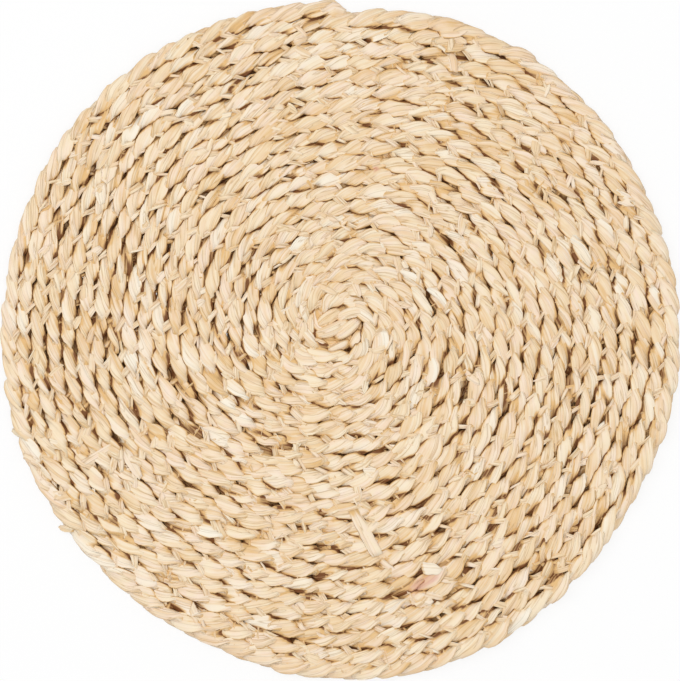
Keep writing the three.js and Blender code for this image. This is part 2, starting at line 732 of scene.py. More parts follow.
@dataclass
class Plait:
    """The three-strand plait on its edge.

    Attributes:
        path: The spiral it follows.
        stains: Patches of another tint.
        thickness: Height of the mat.
        beat: Length in which a strand comes back to the same place in the plait.
        inner_shortening: Share by which that is less in the middle of the coil.
        shortening_reach: Radius over which that fades.
        stray: How far a row strays from the spiral.
        stray_stride: Beats over which its own straying changes.
        rim_calm: Share by which the last turn strays less.
        rise: How far a strand's middle swings up and down.
        plateau: Share of a swing three times as fast, which flattens the crests.
        upheld: Share of the rise by which a strand is held up where it passes a side.
        skew: Share of a swing twice as fast, which lifts the start of each crest over the end.
        swing: How far it swings inwards and outwards, twice in each beat.
        lead: How much earlier it swings than it rises.
        dwell: How much slower it swings along the crests than where it crosses a side.
        girth: How far out it lies where it passes the inner and the outer side.
        calm_below: Share by which it strays less sideways on the underside.
        lean: Angle by which the plait's top leans outwards.
        late_turn: Share of its turn towards a side that it makes only close to that side.
        flat_below: Share by which it turns less on the underside.
        half_width: Half the width of a husk strand where it lies flat on top.
        width_waves: Slow swings of the width around the mat: (waves to a turn, share, start).
        leaf_ends: Width of a lobe's ends, as a share.
        leaf_lead: How much earlier a lobe is widest than highest, as an angle of its phase.
        under_width: How much wider it lies on the underside.
        under_shift: Share of its half width by which it lies under the next row inwards there.
        half_depth: Half its thickness there.
        side_depth: How much thicker it is where it passes a side, standing on edge.
        start_sink: Share by which the coil's first turn lies lower, under the husks on it.
        sink_turn: Turn up to which it does.
        sink_reach: Turns over which that fades.
        floor_ease: Height below which the underside is pressed flat.
        top_ease: Height above the mat's thickness that the crests never reach.
        husk_width: Width of a strand's folded husk, laid flat. Not used.
        steps_per_beat: Rings of the mesh in one beat.
        face_points: Points of a ring on the strand's upper side, with both rims.
        back_points: Points on its lower side.
        map_steps: Rings of each length that a strand is cut into on its bake map.
        pleats: The folds along the strands.
        tones: Their shades.
        spread: How much they differ from lobe to lobe.
        seed: Start of the draws that make them uneven.
    """

    path: CoilPath
    stains: tuple[Stain, ...] = ()
    thickness: float = 10 * MM
    beat: float = 45.3 * MM
    inner_shortening: float = 0.24
    shortening_reach: float = 60 * MM
    stray: float = 0.22 * MM
    stray_stride: float = 0.7
    rim_calm: float = 0.75
    rise: float = 3.4 * MM
    plateau: float = 0.05
    upheld: float = 0.38
    skew: float = 0.17
    swing: float = 1.4 * MM
    lead: float = np.radians(2)
    dwell: float = 0.25
    girth: float = 0.7 * MM
    calm_below: float = 0.7
    lean: float = np.radians(8)
    late_turn: float = 0.75
    flat_below: float = 0.9
    half_width: float = 5.1 * MM
    width_waves: tuple[tuple[int, float, float], ...] = (
        (2, 0.09, np.radians(35)),
        (1, 0.07, np.radians(155)),
    )
    leaf_ends: float = 0.5
    leaf_lead: float = np.radians(14)
    under_width: float = 1.9
    under_shift: float = 0.35
    half_depth: float = 1.5 * MM
    side_depth: float = 0.35
    start_sink: float = 0.33
    sink_turn: float = 1.3
    sink_reach: float = 0.45
    floor_ease: float = 1.3 * MM
    top_ease: float = 0.6 * MM
    husk_width: float = 11 * MM
    steps_per_beat: int = 20
    face_points: int = 16
    back_points: int = 6
    map_steps: int = 180
    pleats: Pleats = Pleats()
    tones: Tones = Tones()
    spread: Spread = Spread()
    seed: int = 7

    @cached_property
    def rail(self) -> Rail:
        """The plait's middle line.

        Formula: the spiral is walked in small steps, the beats passed are the length of each step
        over the local beat, and the rings stand at equal shares of a beat.

        Returns:
            It, with one entry for each ring.
        """
        path = self.path
        small_steps = 200_000
        turn = np.linspace(path.first_turn, path.last_turn, small_steps)
        radius = path.row_radius(turn)
        point = path.stretched(path.at(radius, path.angle(turn)))
        length = np.concatenate([[0], np.cumsum(np.linalg.norm(np.diff(point, axis=0), axis=1))])
        shorter = 1 - self.inner_shortening * np.exp(-radius / self.shortening_reach)
        beats = np.concatenate([[0], np.cumsum(np.diff(length) / (self.beat * shorter[1:]))])
        wanted = np.arange(int(beats[-1] * self.steps_per_beat)) / self.steps_per_beat
        turn = np.interp(wanted, beats, turn)
        length = np.interp(wanted, beats, length)
        fade = eased((length[-1] - length) / path.end_taper)
        rim = eased((turn - path.turns + 1) / path.rim_reach)
        radius = path.row_radius(turn) - (1 - fade) * path.pitch * path.end_inset - path.rim_inset * rim
        radius = radius + self.straying(wanted, turn) * (1 - self.rim_calm * rim) * fade
        point = path.stretched(path.at(radius, path.angle(turn)))
        along = unit(np.gradient(point, axis=0))
        return Rail(
            turn=turn,
            point=point + path.middle,
            along=along,
            outward=-right_of(along),
            length=length,
            beats=wanted,
            fade=0.5 + 0.5 * fade,
        )

    def straying(self, beats: Array, turn: Array) -> Array:
        """How far a row strays outwards from the spiral.

        Formula: the sum over k from 3 to 11 of stray sin(k angle + drift turn / 4 + start), which
        neighbouring rows share but for the drift, and a draw for each stride of beats, eased
        between. The sum grows over the coil's first four turns.

        Args:
            beats: Beats passed.
            turn: Turns walked.

        Returns:
            The way outwards.
        """
        rng = np.random.default_rng(self.seed)
        knots = rng.normal(0, self.stray, int(beats[-1] / self.stray_stride) + 3)
        own = between_knots(knots, beats / self.stray_stride)
        waves = np.arange(3, 12)[:, None]
        start, drift = rng.uniform(-np.pi, np.pi, (2, len(waves), 1))
        angle = self.path.angle(turn)
        shared_way = np.sin(waves * angle + 0.25 * drift * turn + start).sum(0)
        return own + self.stray * shared_way * eased(turn / 4)

    def fuller(self, angle: Array) -> Array:
        """Share by which the strands are wider towards an angle: the sum of the width's waves."""
        return sum(share * np.cos(waves * angle - start) for waves, share, start in self.width_waves)

    def section(self) -> tuple[Array, Array]:
        """Places around a strand, closer together towards its rims.

        Returns:
            The share across, from -1 to 1, and the side, 1 for the upper and -1 for the lower.
        """
        t = np.linspace(-1, 1, self.face_points)
        back = np.linspace(1, -1, self.back_points + 2)[1:-1]
        share = np.concatenate([(t + np.sin(t * np.pi / 2)) / 2, np.sin(back * np.pi / 2)])
        return share, np.where(np.arange(len(share)) < self.face_points, 1, -1)

    def pressed(self, height: Array) -> Array:
        """Heights with the underside pressed on the table and the crests kept level.

        Formula: below an ease e, z becomes e exp(z/e - 1), which never reaches the table, and the
        same upside down at the top.

        Args:
            height: Heights above the table.

        Returns:
            The pressed heights.
        """
        ease, top = self.floor_ease, self.thickness + self.top_ease
        low = ease * np.exp(np.minimum(height / ease - 1, 0))
        height = np.where(height < ease, low, height)
        room = top - height
        ease = self.top_ease * 1.5
        return top - np.where(room < ease, ease * np.exp(np.minimum(room / ease - 1, 0)), room)

    def stained(self, points: Array) -> tuple[Array, Array, Array]:
        """What the stains add at points: the sum of each one's measure times its strength there.

        Args:
            points: The points.

        Returns:
            Shade, tint and rosy.
        """
        weights = [stain.weight(points[..., :2] - self.path.middle) for stain in self.stains]
        return tuple(
            sum(getattr(stain, measure) * weight for stain, weight in zip(self.stains, weights))
            for measure in ("shade", "tint", "rosy")
        )

    def build(self, material: bpy.types.Material, top: TopSurface) -> list[bpy.types.Object]:
        """Builds the strands, each in an inner and an outer run.

        Args:
            material: The husk.
            top: The height grid, which is raised to the strands.

        Returns:
            The pieces.
        """
        pieces = []
        for number in range(3):
            tube = Strand(self, number).tube()
            top.add(tube)
            half = len(tube.rings) // 2
            for run, part in ((Run.INNER, slice(0, half + 1)), (Run.OUTER, slice(half, None))):
                values = {name: numbers[part] for name, numbers in tube.values.items()}
                piece = make_piece(
                    f"strand_{number + 1}_{run.value}",
                    [TubeMesh(tube.rings[part], values)],
                    material,
                    MapGrid(self.map_steps),
                )
                length = float(np.ptp(self.rail.length[part]))
                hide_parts(CAD_NODE)
                pieces.append(piece)
        return pieces


class Strand:
    """One strand of the plait, from the coil's middle to its outer end.

    Its phase p grows by a full turn in each beat. It lies on top where sin p is near 1 and at the
    bottom where sin p is near -1.
    """

    def __init__(self, plait: Plait, number: int) -> None:
        """Finds what depends on the phase alone, and starts the draws.

        Args:
            plait: The plait that the strand belongs to.
            number: 0, 1 or 2.
        """
        self.plait = plait
        self.number = number
        phase = FULL_TURN * (plait.rail.beats + number / 3)
        self.draws = LobeDraws(plait.seed + number, phase / np.pi)
        self.phase = phase + self.draws.uneven(plait.spread.phase)
        self.sin, self.cos = np.sin(self.phase), np.cos(self.phase)
        self.below = eased(-1.6 * self.sin)
        self.fuller = plait.fuller(plait.path.angle(plait.rail.turn))

    def tube(self) -> TubeMesh:
        """The strand's mesh and what its finish reads.

        Formula: at each ring, a flat pad with the half height (1 - |u|^5)^0.5, u from -1 to 1
        across it, is pleated, and set across the middle line.

        Returns:
            The strand as a tube.
        """
        plait = self.plait
        middle, lean = self.middle_line()
        across, face = self.directions(middle, lean)
        half_width, half_depth = self.half_sizes()
        share, side = plait.section()
        folds, facets = self.pleating(share)
        rim = (1 - np.abs(share) ** 5) ** 0.5
        x = (share + plait.under_shift * self.below[:, None]) * half_width[:, None]
        y = side * rim * half_depth[:, None] * (1 + folds)
        rings = middle[:, None] + across[:, None] * x[..., None] + face[:, None] * y[..., None]
        rings[..., 2] = plait.pressed(rings[..., 2])
        past_start = ramp(plait.rail.turn, plait.sink_turn, plait.sink_reach)
        rings[..., 2] *= 1 - plait.start_sink * (1 - past_start)[:, None]
        return TubeMesh(rings, self.values(rings, x, y, share, facets))

    def middle_line(self) -> tuple[Array, Array]:
        """The strand's middle line, and the angle by which it leans at each ring.

        Formula: before it leans, it lies rise (sin p + plateau sin 3p + skew sin 2p +
        upheld cos^2 p) above the mat's middle and swing sin 2q + girth cos p inside the row's
        middle, where q is p + lead + dwell sin 2p.

        Returns:
            The line's points and the angles.
        """
        plait, spread, uneven = self.plait, self.plait.spread, self.draws.uneven
        rail, phase, cos = plait.rail, self.phase, self.cos
        q = phase + plait.lead + plait.dwell * np.sin(2 * phase)
        swing = -plait.swing * np.sin(2 * q) - plait.girth * cos
        swing = swing * (1 + uneven(spread.swing)) * rail.fade
        swing = swing + uneven(spread.place) * (1 - plait.calm_below * self.below)
        held = plait.plateau * np.sin(3 * phase) + plait.skew * np.sin(2 * phase)
        held = held + plait.upheld * cos * cos
        rise = plait.rise * (self.sin + held) * rail.fade + uneven(spread.place)
        lean = plait.lean + uneven(spread.lean)
        sideways = swing * np.cos(lean) + rise * np.sin(lean)
        upward = rise * np.cos(lean) - swing * np.sin(lean)
        flat = rail.point + rail.outward * sideways[:, None]
        return at_heights(flat, plait.thickness / 2 + upward), lean

    def directions(self, middle: Array, lean: Array) -> tuple[Array, Array]:
        """Directions across the strand and out of its flat side, at each ring.

        Formula: the flat side faces up where the strand crests, and turns towards each side by a
        quarter turn times (1 - late_turn) cos p + late_turn cos^7 p, less so on the underside.

        Args:
            middle: The strand's middle line.
            lean: The angle by which it leans.

        Returns:
            Both directions.
        """
        plait, cos = self.plait, self.cos
        turned = -np.pi / 2 * ((1 - plait.late_turn) * cos + plait.late_turn * cos**7)
        turned = turned * (1 - plait.flat_below * self.below)
        turned = turned + self.draws.uneven(plait.spread.turn) + lean
        outward = plait.rail.outward * np.sin(turned)[:, None]
        face = at_heights(outward, np.cos(turned))
        along = unit(np.gradient(middle, axis=0))
        across = unit(np.cross(along, face))
        return across, np.cross(across, along)

    def half_sizes(self) -> tuple[Array, Array]:
        """Half the strand's width and half its thickness, at each ring.

        Formula: on top, the width grows from leaf_ends to all of it with sin(p + leaf_lead)^0.6.
        Below, it grows with (-sin p)^0.6, up to under_width. The thickness is half_depth times
        1 + side_depth (1 - |sin p|^1.2).

        Returns:
            Both.
        """
        plait, spread, uneven = self.plait, self.plait.spread, self.draws.uneven
        fade = plait.rail.fade
        on_top = np.clip(np.sin(self.phase + plait.leaf_lead), 0, 1)
        leaf = np.maximum(on_top, -self.sin) ** 0.6
        leaf = plait.leaf_ends + (1 - plait.leaf_ends) * leaf
        under = ramp(-self.sin, 0.3, 0.55)
        width = plait.half_width * leaf * (1 + (plait.under_width - 1) * under)
        width = width * (1 + self.fuller)
        width = width * (1 + uneven(spread.width) * (1 - self.below)) * fade
        flatness = np.abs(self.sin) ** 1.2
        depth = plait.half_depth * (1 + plait.side_depth - plait.side_depth * flatness)
        return width, depth * (1 + uneven(spread.depth)) * fade

    def pleating(self, share: Array) -> tuple[Array, Array]:
        """Height of the folds over the strand's section, as a share, and shade of its facets.

        Formula: a pleat is a step across the strand, tanh((u - place) / edge), up or down, and the
        facet beyond it takes another shade. The main fold is one larger step down, and a split is
        a trough, exp(-((u - place) / split_width)^2).

        Args:
            share: The places u across the strand, from -1 to 1.

        Returns:
            Both, for each ring and place.
        """
        pleats, spread, draws = self.plait.pleats, self.plait.spread, self.draws
        folds = np.zeros((len(self.phase), len(share)))
        facets = np.zeros_like(folds)
        for pleat in range(pleats.count):
            place = (2 * pleat + 1) / pleats.count - 1 + draws.uneven(spread.pleat, stride=0.8)
            way = np.sign(draws.rng.uniform(-1, 1))
            height = pleats.height * way + draws.uneven(pleats.height, stride=1.4)
            step = np.tanh((share - place[:, None]) / pleats.edge)
            folds += height[:, None] * step
            facets += draws.even(pleats.facet_tone)[:, None] * step
        past_fold = share - (pleats.main_place + draws.uneven(spread.main_place))[:, None]
        step = np.tanh(past_fold / pleats.main_edge)
        height = 1 + draws.uneven(spread.main_height)
        folds -= pleats.main_height * (0.5 + 0.5 * step) * height[:, None]
        facets -= pleats.main_tone * step
        for _ in range(pleats.splits):
            place = draws.uneven(spread.split, stride=1.7)
            trough = np.clip(draws.uneven(spread.trough) - 0.2, 0, 0.5)
            folds -= trough[:, None] * np.exp(-(((share - place[:, None]) / pleats.split_width) ** 2))
        return folds, facets

    def depth(self, rings: Array, share: Array) -> Array:
        """How deep each point looks, from 0 on the crests to 1 down in the gaps.

        Formula: it is 1 less the level on what faces up and the level on what faces down. The edges'
        and the seams' tones are added, and mat_rim is taken off along the mat's rim. The depth is
        painted shade.

        Args:
            rings: The strand's points.
            share: The places across the strand, from -1 to 1.

        Returns:
            The depth of each point.
        """
        plait, rail, tones = self.plait, self.plait.rail, self.plait.tones
        offset = np.einsum("ikc,ic->ik", rings[..., :2] - rail.point[:, None], rail.outward)
        last_row = rail.turn[:, None] > plait.path.turns - 1
        on_rim = last_row * eased(offset / tones.mat_rim_reach + 0.4)
        level = rings[..., 2] / plait.thickness
        above_mean = rings[..., 2] - rings[..., 2].mean(1, keepdims=True)
        facing = eased(above_mean / tones.facing + 0.5)
        aside = np.abs(offset)
        # painted shade along the strand's edges, less near the row's middle
        edge = ramp(np.abs(share), tones.edge_start, 0.18)
        edge = edge * (0.75 + 0.25 * ramp(aside, 1.5 * MM, 1.5 * MM))
        # painted shade along the seams between the rows, weaker where the strands are fuller
        seam = tones.seam * (1 - tones.seam_swing * self.fuller)[:, None]
        # painted shade: low points facing up and high points facing down look deeper
        depth = level + facing * (1 - 2 * level)
        depth = depth + tones.edge * edge * (1 - self.below)[:, None]
        depth = depth + seam * ramp(aside, tones.seam_start, tones.seam_reach)
        # less painted shade along the mat's open outer rim
        return np.clip(depth, 0, 1) * (1 - tones.mat_rim * on_rim)

    def values(
        self, rings: Array, x: Array, y: Array, share: Array, facets: Array
    ) -> dict[str, Array]:
        """What the finish reads at each point of the strand.

        Formula: shade and tint have a draw for each lobe and one for each husk, which ends after
        about three lobes. The facets and the stains add theirs, and painted shade darkens the start
        of each lobe and the edges.

        Args:
            rings: The strand's points.
            x: Their places across it.
            y: Their places through it.
            share: The same places across it, from -1 to 1.
            facets: Shade of its facets.

        Returns:
            The numbers of each point attribute.
        """
        tones, rng = self.plait.tones, self.draws.rng
        lobe, count = self.draws.whole, self.draws.count
        length = self.plait.rail.length[:, None] + self.number * STRAND_SHIFT
        husk = np.cumsum(rng.uniform(size=count) < tones.new_husk)
        # painted shade where a lobe starts, coming up on its inner side
        head = eased((tones.head_end - self.phase % FULL_TURN) / tones.head_reach)[:, None]
        head = head * eased(share + 0.6)
        # painted shade along the strand's edges
        rim = ramp(np.abs(share), tones.rim_start, 0.15)
        by_lobe = rng.normal(0, 1, (2, count)) * tones.lobe
        by_husk = rng.normal(0, 1, (2, count))[:, husk] * tones.husk
        shade, tint = (by_lobe + by_husk)[:, lobe, None]
        stain_shade, stain_tint, rosy = self.plait.stained(rings)
        return husk_values(
            grain=(x, y + husk[lobe][:, None] * HUSK_SHIFT, length),
            shade=shade + facets - tones.head * head - tones.rim * rim + stain_shade,
            tint=tint + stain_tint,
            depth=self.depth(rings, share),
            rosy=rosy,
        )


# ---------------------------------------------------------------- loose husk


def flat_section() -> tuple[Array, Array]:
    """Places around a flat husk: the share across from -1 to 1, and the share of half its thickness."""
    over = np.array([-1, -0.9, 0, 0.9])
    return np.concatenate([over, -over]), np.array([0, 1, 0.8, 1, 0, -1, -1, -1])


@dataclass(frozen=True)
class Slip:
    """A short length of husk that lies on the mat.

    Attributes:
        angle: Clockwise angle of its start about the coil's middle, in degrees.
        radius: Distance of its start from the coil's middle.
        heading: Its direction, in degrees outwards from the row's clockwise direction.
        length: Its length.
        width: Its greatest width.
        start: Its width at the start, as a share of that.
        end: Its width at the end, as a share of that.
        bend: Angle by which it curves outwards over its length, in degrees.
        tuck: How deep its start lies under the strand that holds it, or over it if below 0.
        lift: How far its end stands off what it lies on.
        rest: Share of its height that comes from the highest places under it, not from each.
        slant: How far one corner of each end runs ahead, as a share of half the width.
        thickness: How thick it is.
        shade: How much paler than a strand it is.
        tint: How much pinker.
    """

    angle: float
    radius: float
    heading: float
    length: float
    width: float
    start: float = 0.7
    end: float = 0.5
    bend: float = 0.0
    tuck: float = 1.5 * MM
    lift: float = 0.3 * MM
    rest: float = 0.6
    slant: float = 0.4
    thickness: float = 0.35 * MM
    shade: float = 0.0
    tint: float = 0.0


PLACED_SLIPS = (
    Slip(angle=162.2, radius=143.6 * MM, heading=160, length=12 * MM, width=7 * MM, start=1.0, end=0.1,
         tuck=0.5 * MM, rest=0.9, shade=2.4),
    Slip(angle=164, radius=159.5 * MM, heading=150, length=7.5 * MM, width=6 * MM, start=0.9, end=0.1,
         rest=0.9, shade=1.7),
    Slip(angle=164, radius=87 * MM, heading=-20, length=10 * MM, width=6 * MM, end=0.8, shade=2.0),
    Slip(angle=176.9, radius=101.3 * MM, heading=114, length=29 * MM, width=6.8 * MM, start=0.72, end=1.0,
         bend=2, tuck=-0.5 * MM, rest=1.0, slant=-0.15, shade=1.2),
    Slip(angle=175, radius=87 * MM, heading=95, length=13 * MM, width=6 * MM, shade=0.8),
    Slip(angle=241.9, radius=141 * MM, heading=94, length=20 * MM, width=5 * MM, start=0.8, end=0.9,
         tuck=0.3 * MM, shade=1.2, tint=0.8),
    Slip(angle=241.7, radius=141 * MM, heading=137, length=16 * MM, width=4 * MM, start=0.6, end=0.5,
         tuck=0.4 * MM, shade=0.6),
    Slip(angle=241.5, radius=141 * MM, heading=157, length=14 * MM, width=3.6 * MM, start=0.6, end=0.5,
         tuck=0.5 * MM, shade=1.0),
    Slip(angle=241.4, radius=140.5 * MM, heading=183, length=20 * MM, width=6 * MM, start=0.4, end=0.5,
         tuck=0.5 * MM, shade=1.4, tint=1.0),
    Slip(angle=304.9, radius=157 * MM, heading=-155, length=10.5 * MM, width=8 * MM, start=1.0, end=0.1,
         tuck=0.3 * MM, shade=1.2),
    Slip(angle=300.7, radius=157 * MM, heading=-142, length=12 * MM, width=6.5 * MM, start=0.95, end=0.5,
         tuck=0.3 * MM, shade=2.2),
    Slip(angle=307.5, radius=163 * MM, heading=-170, length=13 * MM, width=5 * MM, shade=0.5),
)


@dataclass
class LooseHusk:
    """Husk ends and slips that lie on the plait.

    Attributes:
        plait: The plait that they come from.
        top: Height of the plait under them.
        placed: The ones placed by hand.
        scattered: How many more there are, at the starts of the plait's lobes.
        inwards: Share of those that run inwards.
        bedding: How deep they sink into what they lie on.
        fold: Height of the fold along each.
        steps: Rings of the mesh along each.
        seed: Start of the draws.
    """

    plait: Plait
    # placed: The ones listed one by one.
    top: TopSurface
    placed: tuple[Slip, ...] = ()
    scattered: int = 150
    inwards: float = 0.7
    bedding: float = 0.25 * MM
    fold: float = 0.15 * MM
    steps: int = 10
    seed: int = 11

    def draw(self) -> list[Slip]:
        """Draws the scattered slips: most run inwards over the gap beside the row inside.

        Returns:
            The slips.
        """
        rng = np.random.default_rng(self.seed)
        points = self.plait.rail.point - self.plait.path.middle
        clear = 3 * self.plait.steps_per_beat
        slips = []
        for ring in rng.integers(clear, len(points) - clear, self.scattered):
            x, y = points[ring]
            inwards = rng.uniform() < self.inwards
            aside = rng.uniform(-3.6, -1.6) if inwards else rng.uniform(-3, 1)
            slips.append(
                Slip(
                    angle=np.degrees(np.arctan2(x, y)),
                    radius=np.linalg.norm(points[ring]) + aside * MM,
                    heading=rng.uniform(-55, -18) if inwards else rng.uniform(15, 65),
                    length=rng.uniform(6, 13) * MM,
                    width=rng.uniform(2.2, 5.5) * MM,
                    start=rng.uniform(0.4, 1.0),
                    end=rng.uniform(0.05, 0.9),
                    bend=rng.uniform(-25, 25),
                    lift=rng.uniform(-0.2, 0.5) * MM,
                    slant=rng.uniform(-1.0, 1.0),
                    shade=min(rng.normal(0.3, 1.0), 1.5),
                    tint=rng.normal(0.0, 1.0),
                )
            )
        return slips

    def flat_points(self, slip: Slip, rng: np.random.Generator) -> Array:
        """A slip's points on the table.

        Formula: its middle line starts in its heading and curves evenly. Its width eases from the
        start's to the full one and on to the end's.

        Args:
            slip: The slip.
            rng: The draws that make its edges uneven.

        Returns:
            The points as (steps, around, 2).
        """
        t = np.linspace(0, 1, self.steps)
        row = np.radians(slip.angle)
        path = self.plait.path
        heading = np.radians(slip.heading + slip.bend * t)[:, None]
        clockwise = np.array([np.cos(row), -np.sin(row)])
        outward = np.array([np.sin(row), np.cos(row)])
        along = np.cos(heading) * clockwise + np.sin(heading) * outward
        start = path.at(slip.radius, row) + path.middle
        line = start + np.cumsum(along, 0) * slip.length / (self.steps - 1)
        widths = between_knots(np.array([slip.start, 1.0, 0.95, slip.end]), 3 * t)
        widths = widths * slip.width / 2 * (1 + rng.normal(0, 0.05, self.steps))
        over = flat_section()[0][None, :, None] * widths[:, None, None]
        return line[:, None] + right_of(along)[:, None] * over + along[:, None] * over * slip.slant

    def resting(self, slip: Slip, flat: Array) -> Array:
        """Heights at which a slip rests.

        Formula: the share rest of the highest places under its rings, smoothed along it, and the
        other share of what lies under each point. Its start is tucked in and its end lifted.

        Args:
            slip: The slip.
            flat: Its points on the table.

        Returns:
            A height for each point.
        """
        t = np.linspace(0, 1, self.steps)[:, None]
        under = self.top.at(flat)
        held = np.pad(under.max(1), 1, mode="edge")
        held = np.max([held[i : i + self.steps] for i in range(3)], 0)
        held = np.convolve(np.pad(held, 2, mode="edge"), np.full(5, 0.2), "valid")
        height = slip.rest * held[:, None] + (1 - slip.rest) * under - self.bedding
        height = height + slip.lift * eased(t) ** 2
        return height - slip.tuck * (1 - eased(t / 0.3))

    def tube(self, slip: Slip) -> TubeMesh:
        """One slip laid on the plait, with a fold along it.

        Args:
            slip: The slip.

        Returns:
            It as a tube.
        """
        rng = np.random.default_rng(int((slip.angle % 360) * 1000 + slip.radius * 1e6))
        t = np.linspace(0, 1, self.steps)[:, None]
        share, upper = flat_section()
        flat = self.flat_points(slip, rng)
        fold = self.fold * np.tanh((share - rng.uniform(-0.5, 0.5)) / 0.15) * rng.choice([-1, 1])
        height = self.resting(slip, flat) + (1 + upper) * slip.thickness / 2 + fold
        across = share * slip.width / 2 + rng.uniform()
        values = husk_values(
            grain=(across, 0.0, t * slip.length + rng.uniform()),
            shade=slip.shade,
            tint=slip.tint,
            # painted shade at its start, tucked under the strand that holds it
            depth=0.05 + 0.4 * (1 - eased(t / 0.25)),
        )
        return TubeMesh(at_heights(flat, height), values)

    def build(self, material: bpy.types.Material) -> bpy.types.Object:
        """Builds all slips as one piece.

        Args:
            material: The husk.

        Returns:
            The piece.
        """
        slips = [*self.placed, *self.draw()]
        grid = MapGrid(self.steps - 1, columns=10)
        piece = make_piece("loose_husk", [self.tube(slip) for slip in slips], material, grid)
        return piece


@dataclass(frozen=True)
class StartHusk:
    """A husk over the coil's start.

    Attributes:
        start: One end, rightwards and upwards of the coil's middle as seen from above.
        end: The other end.
        width: Its width.
        crest: Height of its top.
        bow: How far its middle stands to the left of the line from start to end.
        shade: How much paler than a strand it is.
        tint: How much pinker.
        thickness: Its thickness.
        dip: How much lower its ends lie.
    """

    start: tuple[float, float]
    end: tuple[float, float]
    width: float
    crest: float = 10 * MM
    bow: float = 0.0
    shade: float = 0.0
    tint: float = 0.0
    thickness: float = 3.4 * MM
    dip: float = 2.4 * MM


START_HUSKS = (
    StartHusk((-14 * MM, -2.4 * MM), (1.5 * MM, 8.2 * MM), 7.6 * MM, 9.7 * MM, 0.8 * MM, -1.6),
    StartHusk((-15 * MM, -6.2 * MM), (4.6 * MM, 2.6 * MM), 7.2 * MM, 10.0 * MM, -1.6 * MM, 0.2),
    StartHusk((-3.6 * MM, -8.0 * MM), (11 * MM, 3.4 * MM), 7.2 * MM, 9.9 * MM, -0.6 * MM, 0.8),
    StartHusk((-9.2 * MM, -16.4 * MM), (6 * MM, -8.9 * MM), 5.4 * MM, 9.3 * MM, -0.6 * MM, 0.0),
    StartHusk((4.8 * MM, -13.6 * MM), (11.4 * MM, -2.6 * MM), 5.4 * MM, 9.4 * MM, -0.6 * MM, 0.6),
    StartHusk((-2.6 * MM, 2.4 * MM), (16 * MM, 6.2 * MM), 6.4 * MM, 10.5 * MM, 2.2 * MM, 1.4),
    StartHusk((-16.6 * MM, -9.5 * MM), (-16.4 * MM, 8.6 * MM), 6.0 * MM, 8.9 * MM, 0.8 * MM, 0.5),
    StartHusk((-20 * MM, -9.2 * MM), (-6.5 * MM, -13.2 * MM), 6.0 * MM, 8.8 * MM, 0.6 * MM, 0.8),
)


@dataclass
class StartHusks:
    """The husks over the coil's start, which close it.

    Attributes:
        plait: The plait, for a strand's section and the coil's middle.
        husks: The husks.
        sheet_width: Width of one, laid flat. Not used.
        pleats: How many pleats lie side by side on each.
        fold_height: Their height, as a share of half a husk's thickness.
        steps: Rings of the mesh along each.
        seed: Start of the draws.
    """

    plait: Plait
    husks: tuple[StartHusk, ...]
    sheet_width: float = 10 * MM
    pleats: int = 4
    fold_height: float = 0.1
    steps: int = 19
    seed: int = 5

    def tube(self, husk: StartHusk, number: int) -> TubeMesh:
        """One husk: a pad with pleats, narrower and lower towards its ends.

        Formula: with t from 0 to 1 along it and u from -1 to 1 across, its middle line bows by
        4 t (1 - t) bow and dips by dip (2 t - 1)^4. Its width and thickness follow
        sin(pi (0.08 + 0.84 t))^0.55, and its half height (1 - |u|^3.6)^0.6.

        Args:
            husk: The husk.
            number: Its place in the row.

        Returns:
            It as a tube.
        """
        rng = np.random.default_rng(self.seed + number)
        t = np.linspace(0, 1, self.steps)
        start, step = np.array(husk.start), np.array(husk.end) - np.array(husk.start)
        left = unit(np.array([-step[1], step[0]]))
        line = start + t[:, None] * step + (4 * t * (1 - t) * husk.bow)[:, None] * left
        right = right_of(unit(np.gradient(line, axis=0)))
        share, side = self.plait.section()
        taper = np.sin(np.pi * (0.08 + 0.84 * t)) ** 0.55
        rim = (1 - np.abs(share) ** 3.6) ** 0.6
        folds = np.zeros((self.steps, len(share)))
        for pleat in range(self.pleats):
            place = pleat / 2 - 0.75 + rng.normal(0, 0.08) + 0.25 * (t - 0.5) * rng.normal()
            height = self.fold_height * rng.choice([-1, 1])
            folds += height * np.tanh((share - place[:, None]) / 0.08)
        x = share * taper[:, None] * husk.width / 2
        y = side * rim * taper[:, None] * husk.thickness / 2 * (1 + folds)
        flat = line[:, None] + right[:, None] * x[..., None] + self.plait.path.middle
        middle = husk.crest - husk.thickness / 2 - husk.dip * (2 * t - 1) ** 4
        height = middle[:, None] + y
        values = husk_values(
            grain=(x, y + number * HUSK_SHIFT, t[:, None] * np.linalg.norm(step)),
            shade=husk.shade,
            tint=husk.tint,
            # painted shade: the lower a point lies, the deeper it looks
            depth=np.clip(1.9 - height / (5.2 * MM), 0.0, 1.0),
        )
        return TubeMesh(at_heights(flat, height), values)

    def build(self, material: bpy.types.Material) -> bpy.types.Object:
        """Builds them as one piece.

        Args:
            material: The husk.

        Returns:
            The piece.
        """
        tubes = [self.tube(husk, number) for number, husk in enumerate(self.husks)]
        piece = make_piece("start_husk", tubes, material, MapGrid(self.steps - 1, columns=2))
        return piece


